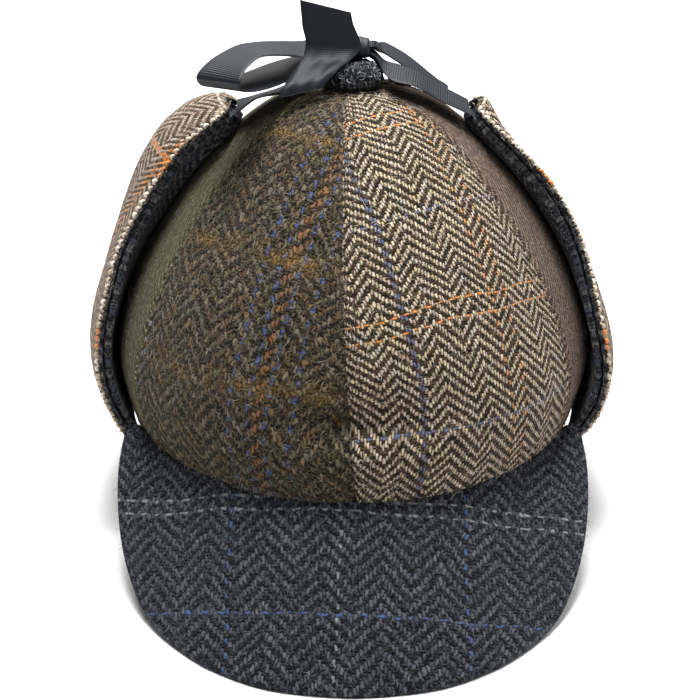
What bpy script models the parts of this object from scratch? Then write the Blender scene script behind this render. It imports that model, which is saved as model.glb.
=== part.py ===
"""Deerstalker hat: a six-gore tweed crown with a peak in front and behind, ear flaps tied up over the
crown by a ribbon bow, and a cloth button on top.

Metres. X runs to the viewer's right, Y from the front peak to the back one, and Z is up. The origin is
on the surface that the hat rests on, below its middle. The hem is the line where the peaks meet the
crown, and most heights are counted from it.
"""

import math

import bmesh
import bpy
import numpy as np

# Clear space between pieces that touch
CLEARANCE = 0.0003

# Crown
HEM_LENGTH = 0.212
HEM_WIDTH = 0.178
CROWN_HEIGHT = 0.123
CROWN_CLOTH = 0.0025
HEM_DEPTH = 0.005
TOP_SET_BACK = 0.003
FRONT_GORE_ANGLE = 61.0
TOP_HOLE_ANGLE = 86.5
DENT_DEPTH = 0.006
DENT_HALF_WIDTH = 0.026
DENT_HEIGHT = 0.025

# Peaks
PEAK_REACH = 0.056
PEAK_DROP = 0.045
PEAK_THICKNESS = 0.004
PEAK_END_ANGLE = 65.0
PEAK_BULGE = 0.0015

# Ear flaps
FLAP_HALF_ANGLE = 23.5
FLAP_TOP_ANGLE = 62.5
FLAP_CLOTH = 0.003
FACING_CLOTH = 0.0025
FACING_INSET = 0.0012
FLAP_LIFT = 0.01
FLAP_BASE_GAP = 0.0006

# Button and ribbon
BUTTON_DIAMETER = 0.023
BUTTON_HEIGHT = 0.0095
RIBBON_WIDTH = 0.022
RIBBON_THICKNESS = 0.001
KNOT_BACK = 0.006
KNOT_WIDTH = 0.013
KNOT_DEPTH = 0.016
KNOT_HEIGHT = 0.008

# Each table starts with its columns' names.
# Crown profile: the angle up from the hem in degrees, and how far it stands out from a plain ellipsoid
CROWN_PROFILE = (("angle", "stand_out"), (-12, 0.925), (0, 1.0), (12, 1.0745), (25, 1.049),
                 (40, 1.0146), (55, 1.001), (70, 1.009), (90, 1.0))
GORE_ROW_ANGLES = (3, 7, 11, 15, 20, 26, 33, 41, 50, 60, 71, 80)

# Front dent: share of the dent's height above the hem, share of its depth
DENT_PROFILE = (("height", "depth"), (0, 0.0), (0.35, 0.2), (0.75, 0.8), (1.0, 1.0), (1.35, 0.75),
                (2.0, 0.25), (2.9, 0.0))

# Peak edge: share of the end angle, share of the reach from the hem, share of the drop
PEAK_EDGE = (("angle", "reach", "drop"), (0, 1.0, 1.0), (0.15, 0.975, 1.0), (0.3, 0.875, 1.0),
             (0.42, 0.755, 1.0), (0.54, 0.635, 0.95), (0.65, 0.52, 0.82), (0.77, 0.4, 0.58),
             (0.89, 0.27, 0.26), (1.0, 0.134, 0.01))

# Flap rows from the hem to the tip: share of the top angle, share of the half angle, and the share of
# the lift at the front edge, the middle and the rear edge. The hat's own sides differ.
FLAP_LEFT = (("height", "half_angle", "front_lift", "middle_lift", "rear_lift"),
             (-0.03, 0.97, 0, 0, 0), (0.03, 1, 0.19, 0.19, 0.19), (0.09, 1, 0.32, 0.32, 0.32),
             (0.17, 1, 0.48, 0.36, 0.48), (0.27, 0.97, 0.68, 0.4, 0.68),
             (0.37, 0.9, 0.76, 0.49, 0.76), (0.48, 0.82, 0.86, 0.68, 0.86),
             (0.59, 0.77, 0.86, 1, 0.86), (0.7, 0.74, 0.86, 1.3, 0.86),
             (0.8, 0.74, 0.91, 1.46, 0.91), (0.89, 0.74, 0.76, 1.38, 0.76),
             (0.95, 0.7, 0.6, 1.11, 0.6), (0.985, 0.6, 0.5, 0.83, 0.5), (1, 0.4, 0.45, 0.59, 0.45))
FLAP_RIGHT = (("height", "half_angle", "front_lift", "middle_lift", "rear_lift"),
              (-0.03, 0.97, 0, 0, 0), (0.03, 1, 0.32, 0.29, 0.24), (0.09, 1, 0.49, 0.3, 0.2),
              (0.17, 1, 0.55, 0.14, 0.06), (0.27, 0.97, 0.54, 0.06, 0.03),
              (0.37, 0.88, 0.58, 0.04, 0.02), (0.48, 0.78, 0.73, 0.04, 0.02),
              (0.59, 0.7, 0.82, 0.04, 0.02), (0.7, 0.64, 0.74, 0.06, 0.04),
              (0.8, 0.62, 0.62, 0.12, 0.08), (0.89, 0.62, 0.52, 0.3, 0.14),
              (0.95, 0.58, 0.47, 0.54, 0.26), (0.985, 0.49, 0.44, 0.64, 0.34),
              (1, 0.35, 0.4, 0.56, 0.38))

# Ribbon strips, station by station: place in ribbon widths right of, behind and above the knot, the
# turn and the tilt of the width in degrees (0, 0 points it at the viewer), and the share of the width
# that is left where the strip is gathered
RIBBON_COLUMNS = ("right", "back", "up", "turn", "tilt", "width")
BOW_LOOP_LEFT = ((-0.34, 0.10, 0.10, 0, 0, 0.42), (-0.55, 0.18, 0.02, 1, -1, 0.8),
                 (-0.86, 0.12, -0.06, 3, -2, 1), (-1.19, -0.35, 0.06, 10, -1, 1),
                 (-1.53, -0.90, 0.19, 19, 0, 1), (-1.78, -1.40, 0.26, 26, 1, 1),
                 (-1.99, -1.90, 0.23, 34, 1, 1), (-2.14, -2.24, 0.14, 44, 2, 1),
                 (-2.21, -2.38, 0.02, 50, 4, 1), (-2.16, -2.28, -0.11, 46, 6, 1),
                 (-1.94, -1.86, -0.21, 36, 3, 1), (-1.62, -1.15, -0.29, 27, -2, 1),
                 (-1.25, -0.36, -0.34, 17, -5, 1), (-0.86, 0.04, -0.32, 8, -5, 1),
                 (-0.55, 0.18, -0.20, 3, -3, 0.8), (-0.34, 0.08, -0.04, 0, 0, 0.42))
BOW_LOOP_RIGHT = ((0.37, 0.12, 0.00, 0, 0, 0.42), (0.46, 0.50, -0.13, 2, 0, 0.6),
                  (0.62, 0.78, -0.24, 2, -1, 0.9), (0.91, 0.82, -0.42, 1, -1, 1),
                  (1.17, 0.76, -0.61, -1, -1, 1), (1.40, 0.74, -0.80, -1, -1, 1),
                  (1.60, 0.72, -0.95, -2, -1, 1), (1.70, 0.70, -0.99, -3, 0, 1),
                  (1.73, 0.70, -1.05, -3, 0, 1), (1.66, 0.70, -1.05, -3, 0, 1),
                  (1.45, 0.72, -0.92, -2, 0, 1), (1.18, 0.75, -0.78, -1, 0, 1),
                  (0.88, 0.78, -0.73, 0, 0, 1), (0.62, 0.80, -0.66, 0, 0, 1))
BOW_TAIL = ((-0.47, -0.40, 0.81, 90, -14, 0.9), (-0.44, -0.40, 0.59, 90, -11, 0.91),
            (-0.39, -0.40, 0.37, 90, -6, 0.95), (-0.33, -0.40, 0.16, 90, -4, 0.96),
            (-0.45, -0.54, -0.07, 90, 0, 0.85), (-0.65, -0.80, -0.21, 90, 5, 0.8),
            (-0.81, -1.06, -0.38, 104, 6, 0.8), (-0.89, -1.13, -0.52, 104, 9, 0.8))
TIE_RIGHT = ((0.36, 0.0, -0.13, 0, 0, 0.42), (0.56, -0.12, -0.34, -2, -2, 0.8),
             (0.76, -0.30, -0.38, -4, -3, 1), (1.09, -0.36, -0.47, -4, 0, 1),
             (1.48, -0.36, -0.70, -3, 0, 1), (1.75, -0.35, -0.84, -2, 0, 1),
             (2.03, -0.34, -0.98, 0, 0, 1))
TIE_LEFT = ((-0.34, 0.08, -0.14, 0, 0, 0.42), (-0.60, 0.12, -0.43, 0, 2, 0.8),
            (-0.92, -0.05, -0.61, 2, 6, 1), (-1.30, -0.25, -0.72, 3, 10, 1),
            (-1.65, -0.31, -0.79, 2, 12, 1), (-1.88, -0.33, -0.90, 1, 6, 1),
            (-2.03, -0.34, -0.98, 0, 0, 1))

# Button rows from its foot to its top: share of the radius, share of the height above its seat
BUTTON_ROWS = ((1.0, 0.13), (0.985, 0.35), (0.966, 0.59), (0.788, 0.79), (0.53, 0.92), (0.26, 0.98))
BUTTON_FOOT = (0.25, 0.6, 0.85)

# Knot rows along it: share of its half width, share of its girth
KNOT_ROWS = ((-1.0, 0.6), (-0.8, 1.0), (0.0, 1.0), (0.8, 1.0), (1.0, 0.6))

# Colours and finish
OLIVE = (0.085, 0.07, 0.04)
BEIGE = (0.25, 0.2, 0.145)
GREEN = (0.1, 0.09, 0.045)
BROWN = (0.11, 0.08, 0.065)
CHARCOAL = (0.035, 0.038, 0.045)
PINK_BEIGE = (0.3, 0.22, 0.16)
BLACK = (0.02, 0.022, 0.027)
WOOL_ROUGHNESS = 0.95
RIBBON_ROUGHNESS = 0.6
SHARP_ANGLE = 40

# How many points or steps each mesh has
GORE_POINTS = 10
PEAK_STEPS = 28
TOP_POINTS = 6
EDGE_POINTS = 3
FLAP_STEPS = 16
BUTTON_SIDES = 24
KNOT_SIDES = 12


def smooth(table, column, at):
    """Reads the named column of a table at the places `at` along its first column, by a cubic that
    never passes beyond the rows on either side."""
    number = table[0].index(column)
    x = np.array([row[0] for row in table[1:]], float)
    y = np.array([row[number] for row in table[1:]], float)
    step = np.diff(x)
    slope = np.diff(y) / step
    tangent = np.zeros(len(x))
    same = slope[:-1] * slope[1:] > 0
    tangent[1:-1][same] = 2 * slope[:-1][same] * slope[1:][same] / (slope[:-1] + slope[1:])[same]
    tangent[0], tangent[-1] = slope[0], slope[-1]
    at = np.clip(np.asarray(at, float), x[0], x[-1])
    i = np.clip(np.searchsorted(x, at) - 1, 0, len(step) - 1)
    u = (at - x[i]) / step[i]
    return (y[i] * (1 + 2 * u) * (1 - u) ** 2 + step[i] * tangent[i] * u * (1 - u) ** 2
            + y[i + 1] * u * u * (3 - 2 * u) - step[i] * tangent[i + 1] * u * u * (1 - u))


def crown(side, up):
    """Point on the crown's outside: `side` in degrees round from the front towards +X and `up` in
    degrees from the hem. An ellipsoid, stood out by the profile, set back towards the top, and pressed
    in by the front dent."""
    side, up = np.broadcast_arrays(np.radians(side), np.asarray(up, float))
    out = smooth(CROWN_PROFILE, "stand_out", up)
    level, height = np.cos(np.radians(up)) * out, np.sin(np.radians(up)) * out
    x = HEM_WIDTH / 2 * level * np.sin(side)
    y = -HEM_LENGTH / 2 * level * np.cos(side) + TOP_SET_BACK * height ** 2
    z = CROWN_HEIGHT * height
    dent = smooth(DENT_PROFILE, "depth", z / DENT_HEIGHT) * np.exp(-(x / DENT_HALF_WIDTH) ** 2)
    y = y + np.where(y < 0, DENT_DEPTH * dent, 0)
    return np.stack([x, y, z + PEAK_DROP], -1)


def crown_normal(side, up):
    """Outward unit normal of the crown's outside, from small steps along and up it."""
    step = 0.05
    along = crown(side + step, up) - crown(side - step, up)
    rising = crown(side, up + step) - crown(side, up - step)
    normal = np.cross(along, rising)
    return normal / np.linalg.norm(normal, axis=-1, keepdims=True)


def off_crown(side, up, distance):
    """Point at a distance outside the crown, along its normal."""
    return crown(side, up) + crown_normal(side, up) * np.asarray(distance)[..., None]


def loft(name, rings, colour, roughness):
    """Joins closed rings of points into one solid. Each ring lists one side and then comes back along
    the other, so that point k faces the k-th from the end and the two ends close with strips."""
    rings = np.asarray(rings, float)
    size = rings.shape[1]
    mesh = bmesh.new()
    rows = [[mesh.verts.new(point) for point in ring] for ring in rings]
    for a, b in zip(rows, rows[1:]):
        for k in range(size):
            mesh.faces.new((a[k], a[(k + 1) % size], b[(k + 1) % size], b[k]))
    for row in (rows[0], rows[-1]):
        for k in range(size // 2 - 1):
            mesh.faces.new((row[k], row[k + 1], row[size - 2 - k], row[size - 1 - k]))
        if size % 2:
            middle = size // 2
            mesh.faces.new((row[middle - 1], row[middle], row[middle + 1]))
    bmesh.ops.recalc_face_normals(mesh, faces=mesh.faces)
    data = bpy.data.meshes.new(name)
    mesh.to_mesh(data)
    mesh.free()
    data.shade_smooth()
    data.set_sharp_from_angle(angle=math.radians(SHARP_ANGLE))
    data.materials.append(cloth(name, colour, roughness))
    piece = bpy.data.objects.new(name, data)
    bpy.context.collection.objects.link(piece)
    return piece


def cloth(name, colour, roughness):
    """A plain material of one colour for a piece."""
    material = bpy.data.materials.new(name)
    material.use_nodes = True
    shader = material.node_tree.nodes["Principled BSDF"]
    shader.inputs["Base Color"].default_value = (*colour, 1)
    shader.inputs["Roughness"].default_value = roughness
    shader.inputs["Metallic"].default_value = 0
    return material


def gore(name, start, end, colour):
    """One crown panel between two seams, given in degrees round from the front, as a curved wall."""
    hem_angle = math.degrees(math.asin(HEM_DEPTH / CROWN_HEIGHT))
    rings = []
    for up in (-hem_angle, *GORE_ROW_ANGLES, TOP_HOLE_ANGLE):
        reach = np.linalg.norm(crown(start, up)[:2] - [0, TOP_SET_BACK * math.sin(math.radians(up)) ** 2])
        seam = math.degrees(CLEARANCE / reach)
        sides = np.linspace(start + seam, end - seam, GORE_POINTS)
        outside = crown(sides, up)
        inside = off_crown(sides, up, -CROWN_CLOTH)
        rings.append(np.concatenate([outside, inside[::-1]]))
    return loft(name, rings, colour, WOOL_ROUGHNESS)


def peak(name, facing, colour):
    """A peak, as a stiff board that leaves the hem and falls to its rounded edge. `facing` is -1 for
    the front and 1 for the back. Its edge is flat where it rests."""
    radius = PEAK_THICKNESS / 2
    turn = np.linspace(-1, 1, PEAK_STEPS + 1)
    side = turn * PEAK_END_ANGLE
    angle = np.radians(side)
    hem = np.stack([HEM_WIDTH / 2 * np.sin(angle), -HEM_LENGTH / 2 * np.cos(angle)], -1)
    away = np.stack([HEM_LENGTH * np.sin(angle), -HEM_WIDTH * np.cos(angle)], -1)
    away /= np.linalg.norm(away, axis=1, keepdims=True)
    reach = PEAK_REACH * smooth(PEAK_EDGE, "reach", np.abs(turn))
    drop = PEAK_DROP * smooth(PEAK_EDGE, "drop", np.abs(turn))
    seam = np.column_stack([hem + away * CLEARANCE, np.full(len(turn), PEAK_DROP)])
    edge = np.column_stack([hem + away * reach[:, None], PEAK_DROP - drop])
    rings = []
    for k in range(len(turn)):
        out = edge[k] - seam[k]
        out /= np.linalg.norm(out)
        along = np.array([-away[k, 1], away[k, 0], 0])
        top = np.cross(out, along)
        top /= np.linalg.norm(top)
        top *= np.sign(top[2])
        centre = edge[k] - out * radius
        share = np.linspace(0, 1, TOP_POINTS)[:, None]
        crest = PEAK_BULGE * np.sin(np.pi * share) * top
        above = seam[k] + (centre + top * radius - seam[k]) * share + crest
        below_seam = seam[k] - [0, 0, PEAK_THICKNESS / top[2]]
        below = below_seam + (centre - top * radius - below_seam) * share + crest
        bend = np.radians(90 - 180 * np.arange(1, EDGE_POINTS + 1) / (EDGE_POINTS + 1))[:, None]
        round_edge = centre + radius * (np.cos(bend) * out + np.sin(bend) * top)
        rings.append(np.concatenate([above, round_edge, below[::-1]]))
    rings = np.array(rings)
    rings[..., 2] = np.maximum(rings[..., 2], 0)
    if facing > 0:
        rings[..., 1] *= -1
    return loft(name, rings, colour, WOOL_ROUGHNESS)


def flap_layer(name, hand, table, inner, thickness, inset, colour):
    """One layer of an ear flap. `hand` is 1 for the viewer's right and -1 for the left, `inner` is how
    far the layer's inside lies above the flap's foot, and `inset` narrows the layer all round."""
    foot = CLEARANCE + FLAP_BASE_GAP
    across = np.linspace(-1, 1, FLAP_STEPS + 1)
    rings = []
    for height, half, *_ in table[1:]:
        up = FLAP_TOP_ANGLE * height - math.degrees(inset / CROWN_HEIGHT) * max(height, 0)
        narrower = math.degrees(inset / crown(90.0, up)[0])
        half_angle = FLAP_HALF_ANGLE * half
        place = across * (1 - narrower / half_angle)
        sides = 90 + half_angle * place
        front, middle, rear = (smooth(table, column, up / FLAP_TOP_ANGLE)
                               for column in ("front_lift", "middle_lift", "rear_lift"))
        share = middle + (rear - front) / 2 * place + ((rear + front) / 2 - middle) * place ** 2
        under = foot + inner + FLAP_LIFT * share
        over = off_crown(sides, up, under + thickness)
        rings.append(np.concatenate([over, off_crown(sides, up, under)[::-1]]))
    rings = np.array(rings)
    rings[..., 0] *= hand
    return loft(name, rings, colour, WOOL_ROUGHNESS)


def button():
    """The cloth button: a flattened ball whose foot follows the crown's top."""
    centre = crown(0.0, 90.0)
    radius = BUTTON_DIAMETER / 2
    turn = np.linspace(0, 2 * np.pi, BUTTON_SIDES, endpoint=False)
    foot_drop = (1 - math.sqrt(1 - (2 * radius / HEM_LENGTH) ** 2)) * CROWN_HEIGHT
    rows = [(share, CLEARANCE * 2 - foot_drop * share ** 2) for share in BUTTON_FOOT]
    rows += [(share, BUTTON_HEIGHT * height) for share, height in BUTTON_ROWS]
    rings = [centre + np.stack([radius * share * np.cos(turn), radius * share * np.sin(turn),
                                np.full(BUTTON_SIDES, height)], -1) for share, height in rows]
    return loft("top_button", rings, CHARCOAL, WOOL_ROUGHNESS)


def knot_place():
    """Middle of the bow's knot, which sits on the back of the button."""
    return crown(0.0, 90.0) + [0, KNOT_BACK, BUTTON_HEIGHT + CLEARANCE + KNOT_HEIGHT / 2]


def ribbon(name, stations):
    """A strip of ribbon carried through its stations, with its width turned and tilted at each."""
    table = np.array(stations, float)
    run = np.concatenate([[0], np.cumsum(np.linalg.norm(np.diff(table[:, :3], axis=0), axis=1))])
    rows = [("run", *RIBBON_COLUMNS)] + [(at, *row) for at, row in zip(run, table)]
    places = np.linspace(0, run[-1], 2 * len(table) - 1)
    right, back, up, turn, tilt, gather = (smooth(rows, column, places) for column in RIBBON_COLUMNS)
    middle = knot_place() + RIBBON_WIDTH * np.stack([right, back, up], -1)
    turn, tilt = np.radians(turn), np.radians(tilt)
    width = np.stack([np.cos(tilt) * np.sin(turn), -np.cos(tilt) * np.cos(turn), np.sin(tilt)], -1)
    along = np.gradient(middle, axis=0)
    face = np.cross(along, width)
    face /= np.linalg.norm(face, axis=1, keepdims=True)
    width *= gather[:, None] * RIBBON_WIDTH / 2
    rings = []
    for centre, across, out in zip(middle, width, face * RIBBON_THICKNESS / 2):
        rings.append([centre - across + out, centre + out, centre + across + out,
                      centre + across - out, centre - out, centre - across - out])
    return loft(name, rings, BLACK, RIBBON_ROUGHNESS)


def knot():
    """The bow's knot: a rounded lump of ribbon as wide as the strips that enter it."""
    half = np.array([KNOT_WIDTH, KNOT_DEPTH, KNOT_HEIGHT]) / 2
    turn = np.linspace(0, 2 * np.pi, KNOT_SIDES, endpoint=False) + np.pi / KNOT_SIDES
    rings = [knot_place() + half * np.stack([np.full(KNOT_SIDES, share), girth * np.cos(turn),
                                             girth * np.sin(turn)], -1) for share, girth in KNOT_ROWS]
    return loft("bow_knot", rings, BLACK, RIBBON_ROUGHNESS)


for old in list(bpy.data.objects):
    bpy.data.objects.remove(old, do_unlink=True)

back_gore_angle = 180 - FRONT_GORE_ANGLE
gore("crown_panel_front_left", -FRONT_GORE_ANGLE, 0.0, OLIVE)
gore("crown_panel_front_right", 0.0, FRONT_GORE_ANGLE, BEIGE)
gore("crown_panel_side_left", -back_gore_angle, -FRONT_GORE_ANGLE, GREEN)
gore("crown_panel_side_right", FRONT_GORE_ANGLE, back_gore_angle, BROWN)
gore("crown_panel_back_left", -180.0, -back_gore_angle, BEIGE)
gore("crown_panel_back_right", back_gore_angle, 180.0, OLIVE)

peak("front_peak", -1, CHARCOAL)
peak("back_peak", 1, CHARCOAL)

outer_start = FACING_CLOTH + 2 * CLEARANCE
for side_name, hand, table, colour in (("left", -1, FLAP_LEFT, PINK_BEIGE),
                                       ("right", 1, FLAP_RIGHT, BEIGE)):
    flap_layer("ear_flap_" + side_name, hand, table, outer_start, FLAP_CLOTH, 0.0, colour)
    flap_layer("ear_flap_facing_" + side_name, hand, table, 0.0, FACING_CLOTH, FACING_INSET, CHARCOAL)

button()
knot()
ribbon("bow_loop_left", BOW_LOOP_LEFT)
ribbon("bow_loop_right", BOW_LOOP_RIGHT)
ribbon("bow_tail", BOW_TAIL)
ribbon("tie_left", TIE_LEFT)
ribbon("tie_right", TIE_RIGHT)
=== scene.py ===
"""Deerstalker hat: the looks of the tweed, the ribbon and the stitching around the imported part.

Metres, Z up, the front peak towards -Y. The hem is the line where the peaks meet the crown.
"""
import math

import bpy
import numpy as np
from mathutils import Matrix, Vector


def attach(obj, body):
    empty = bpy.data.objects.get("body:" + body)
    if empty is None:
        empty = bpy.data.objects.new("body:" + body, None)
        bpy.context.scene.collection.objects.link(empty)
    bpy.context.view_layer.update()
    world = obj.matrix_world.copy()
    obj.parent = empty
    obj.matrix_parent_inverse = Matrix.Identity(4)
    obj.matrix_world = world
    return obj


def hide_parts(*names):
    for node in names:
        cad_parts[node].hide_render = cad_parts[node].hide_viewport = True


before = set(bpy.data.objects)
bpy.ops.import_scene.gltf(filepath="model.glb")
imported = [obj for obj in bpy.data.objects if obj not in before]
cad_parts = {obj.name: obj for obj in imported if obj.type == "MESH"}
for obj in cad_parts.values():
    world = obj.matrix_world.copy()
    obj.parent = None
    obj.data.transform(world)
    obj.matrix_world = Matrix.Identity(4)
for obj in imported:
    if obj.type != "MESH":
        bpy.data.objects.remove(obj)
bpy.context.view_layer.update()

# Crown: six gores of wool tweed, each cut to a petal and sewn to the next with its allowance turned
# inside, so the surface dips at each seam. A line of stitches runs beside the front seam and another
# above the hem.
HEM_LENGTH = 0.212
HEM_WIDTH = 0.178
CROWN_HEIGHT = 0.123
PEAK_DROP = 0.045
TOP_SET_BACK = 0.003
DENT_DEPTH = 0.0105
DENT_HALF_WIDTH = 0.026
DENT_HEIGHT = 0.0285
# Crown profile: degrees up from the hem, stand-out from a plain ellipsoid
CROWN_PROFILE = ((-12, 0.925), (0, 1.0), (12, 1.0745), (25, 1.049), (40, 1.0146), (55, 1.001),
                 (70, 1.009), (90, 1.0))
# Front dent: share of its height above the hem, share of its depth
DENT_PROFILE = ((0, 0.0), (0.6, 0.1), (0.85, 0.5), (0.95, 0.92), (1.0, 1.0), (1.25, 0.75), (1.55, 0.3),
                (2.3, 0.0))
# Cloth: how far its lines wander, how high its floats stand for their width, and the noises of its
# lines, its fibres and the two sets of loose hairs, which have a turn and their sizes
CLOTH_WANDER = 0.005
CLOTH_RELIEF = 0.3
WANDER_SCALE = 30.0
FIBRE_SCALE = 1700.0
HAIR_STREAKS = ((0.9, (1 / 2300, 1 / 520, 1.0)), (-0.7, (1 / 2100, 1 / 560, 1.0)))


def smooth(table, column, at):
    """A column of a table, read at `at` along its first column by a cubic that never overshoots."""
    x = np.array([row[0] for row in table], float)
    y = np.array([row[column] for row in table], float)
    step = np.diff(x)
    slope = np.diff(y) / step
    tangent = np.zeros(len(x))
    same = slope[:-1] * slope[1:] > 0
    tangent[1:-1][same] = 2 * slope[:-1][same] * slope[1:][same] / (slope[:-1] + slope[1:])[same]
    tangent[0], tangent[-1] = slope[0], slope[-1]
    at = np.clip(np.asarray(at, float), x[0], x[-1])
    i = np.clip(np.searchsorted(x, at) - 1, 0, len(step) - 1)
    u = (at - x[i]) / step[i]
    return (y[i] * (1 + 2 * u) * (1 - u) ** 2 + step[i] * tangent[i] * u * (1 - u) ** 2
            + y[i + 1] * u * u * (3 - 2 * u) - step[i] * tangent[i + 1] * u * u * (1 - u))


def crown(side, up):
    """Point on the crown's outside: `side` degrees round from the front towards +X, `up` degrees from
    the hem. An ellipsoid, stood out by the profile, set back at the top and pressed in by the dent."""
    side, up = np.broadcast_arrays(np.radians(side), np.asarray(up, float))
    out = smooth(CROWN_PROFILE, 1, up)
    level, height = np.cos(np.radians(up)) * out, np.sin(np.radians(up)) * out
    x = HEM_WIDTH / 2 * level * np.sin(side)
    y = -HEM_LENGTH / 2 * level * np.cos(side) + TOP_SET_BACK * height ** 2
    z = CROWN_HEIGHT * height
    dent = smooth(DENT_PROFILE, 1, z / DENT_HEIGHT) * np.exp(-(x / DENT_HALF_WIDTH) ** 2)
    y = y + np.where(y < 0, DENT_DEPTH * dent, 0)
    return np.stack([x, y, z + PEAK_DROP], -1)


def unit(vectors):
    """Vectors brought to length one."""
    return vectors / np.maximum(np.linalg.norm(vectors, axis=-1, keepdims=True), 1e-12)


def run_along(points):
    """Distance from the first of a row of points to each one: the steps between them, added up."""
    steps = np.linalg.norm(np.diff(points, axis=-2), axis=-1)
    return np.concatenate([0 * steps[..., :1], np.cumsum(steps, axis=-1)], -1)


def on_line(at, run, line):
    """The points of a line at given distances along it, straight between its own points."""
    return np.stack([np.interp(at, run, line[:, k]) for k in range(3)], 1)


def crown_normal(side, up):
    """Outward unit normal of the crown, from small steps along and up it."""
    step = 0.05
    along = crown(side + step, up) - crown(side - step, up)
    rising = crown(side, up + step) - crown(side, up - step)
    return unit(np.cross(along, rising))


def wave(u, v, size, seed):
    """Soft unevenness between -1 and 1 over two lengths in metres: a few crossed sine waves of about
    the given size."""
    pick = np.random.default_rng(seed)
    total = np.zeros(np.broadcast(u, v).shape)
    for _ in range(5):
        turn, phase, scale = pick.uniform(0, 2 * np.pi), pick.uniform(0, 2 * np.pi), pick.uniform(0.7, 1.5)
        total += np.sin(2 * np.pi * (u * math.cos(turn) + v * math.sin(turn)) / (size * scale) + phase)
    return total / 5


def polygons(name, points, faces, spots=None, kinds=None):
    """A smooth mesh object from points and faces of one size, with the UV of each point and the
    material number of each face."""
    data = bpy.data.meshes.new(name)
    data.vertices.add(len(points))
    data.vertices.foreach_set("co", np.ascontiguousarray(points, np.float32).ravel())
    data.loops.add(faces.size)
    data.loops.foreach_set("vertex_index", faces.ravel().astype(np.int32))
    data.polygons.add(len(faces))
    data.polygons.foreach_set("loop_start", np.arange(0, faces.size, faces.shape[1], dtype=np.int32))
    data.update(calc_edges=True)
    if kinds is not None:
        data.polygons.foreach_set("material_index", kinds.astype(np.int32))
    if spots is not None:
        corners = spots[faces.ravel()].astype(np.float32)
        data.uv_layers.new(name="cloth").data.foreach_set("uv", corners.ravel())
    data.validate()
    data.shade_smooth()
    piece = bpy.data.objects.new(name, data)
    bpy.context.scene.collection.objects.link(piece)
    return piece


def shell(name, outside, inside, outside_uv, inside_uv=None, closed=False, lined=False):
    """A closed body between two grids of points, row by row. With `closed`, each row joins its own end.
    The UV map holds the place on the cloth in metres. With `lined`, the rim and the inside take the
    second material."""
    rows, size = outside.shape[:2]
    count = rows * size
    points = np.concatenate([outside.reshape(-1, 3), inside.reshape(-1, 3)])
    spots = np.concatenate([outside_uv.reshape(-1, 2),
                            (outside_uv if inside_uv is None else inside_uv).reshape(-1, 2)])
    at = np.arange(count).reshape(rows, size)
    if closed:
        at = np.concatenate([at, at[:, :1]], 1)
    a, b, c, d = at[:-1, :-1].ravel(), at[:-1, 1:].ravel(), at[1:, 1:].ravel(), at[1:, :-1].ravel()
    faces = [np.stack([a, b, c, d], 1), np.stack([d, c, b, a], 1) + count]
    rims = [at[0, ::-1], at[-1]]
    if not closed:
        rims += [at[:, 0], at[::-1, -1]]
    for rim in rims:
        faces.append(np.stack([rim[:-1], rim[1:], rim[1:] + count, rim[:-1] + count], 1)[:, ::-1])
    kinds = np.ones(sum(len(group) for group in faces))
    kinds[:len(a)] = 0
    return polygons(name, points, np.concatenate(faces), spots, kinds if lined else None)


def strands(name, paths, radius, across, spots):
    """Many thin closed tubes with four sides. `paths` is strand by point by place, `radius` is strand by
    point, `across` is a direction that each strand isn't parallel to, and `spots` is one UV each."""
    count, length = paths.shape[:2]
    along = unit(np.gradient(paths, axis=1))
    first = unit(np.cross(along, across[:, None] + 0 * along))
    second = np.cross(along, first)
    corners = [first, second, -first, -second]
    rings = np.stack([paths + radius[..., None] * corner for corner in corners], 2)
    at = np.arange(count * length * 4).reshape(count, length, 4)
    walls = np.stack([at[:, :-1], np.roll(at, -1, 2)[:, :-1], np.roll(at, -1, 2)[:, 1:], at[:, 1:]], -1)
    faces = np.concatenate([walls.reshape(-1, 4), at[:, 0, ::-1], at[:, -1]])
    return polygons(name, rings.reshape(-1, 3), faces, np.repeat(spots, length * 4, axis=0))


def node(tree, kind, inputs=(), **settings):
    """A shader node with its settings and inputs; an input that is a socket is linked."""
    made = tree.nodes.new(kind)
    for key, value in settings.items():
        setattr(made, key, value)
    for key, value in dict(inputs).items():
        if isinstance(value, bpy.types.NodeSocket):
            tree.links.new(value, made.inputs[key])
        else:
            made.inputs[key].default_value = value
    return made


def calc(tree, operation, *values):
    """The result of a maths node."""
    return node(tree, "ShaderNodeMath", enumerate(values), operation=operation).outputs[0]


def vector(tree, operation, *values):
    """The result of a vector maths node."""
    return node(tree, "ShaderNodeVectorMath", enumerate(values), operation=operation).outputs[0]


def pair(tree, x, y):
    """A vector of two values."""
    return node(tree, "ShaderNodeCombineXYZ", {0: x, 1: y}).outputs[0]


def between(tree, share, low, high):
    """A value between two, by a share."""
    return node(tree, "ShaderNodeMix", {0: share, 2: low, 3: high}).outputs[0]


def rounded(tree, value, power):
    """One less the value's size to a power: 1 in the middle and 0 at both ends."""
    return calc(tree, "SUBTRACT", 1, calc(tree, "POWER", calc(tree, "ABSOLUTE", value), power))


def blend(tree, share, low, high, way="MIX"):
    """A colour between two, by a share."""
    low, high = [(*c, 1) if isinstance(c, tuple) else c for c in (low, high)]
    made = node(tree, "ShaderNodeMix", {0: share, 6: low, 7: high}, data_type="RGBA", blend_type=way)
    return made.outputs[2]


def new_material(name, roughness, specular, sheen=0.0):
    """A Principled material with its fixed finish, its node tree and its shader."""
    material = bpy.data.materials.new(name)
    material.use_nodes = True
    tree = material.node_tree
    shader = tree.nodes["Principled BSDF"]
    shader.inputs["Roughness"].default_value = roughness
    shader.inputs["Specular IOR Level"].default_value = specular
    shader.inputs["Sheen Weight"].default_value = sheen
    shader.inputs["Sheen Roughness"].default_value = 0.4
    return material, tree, shader


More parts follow.
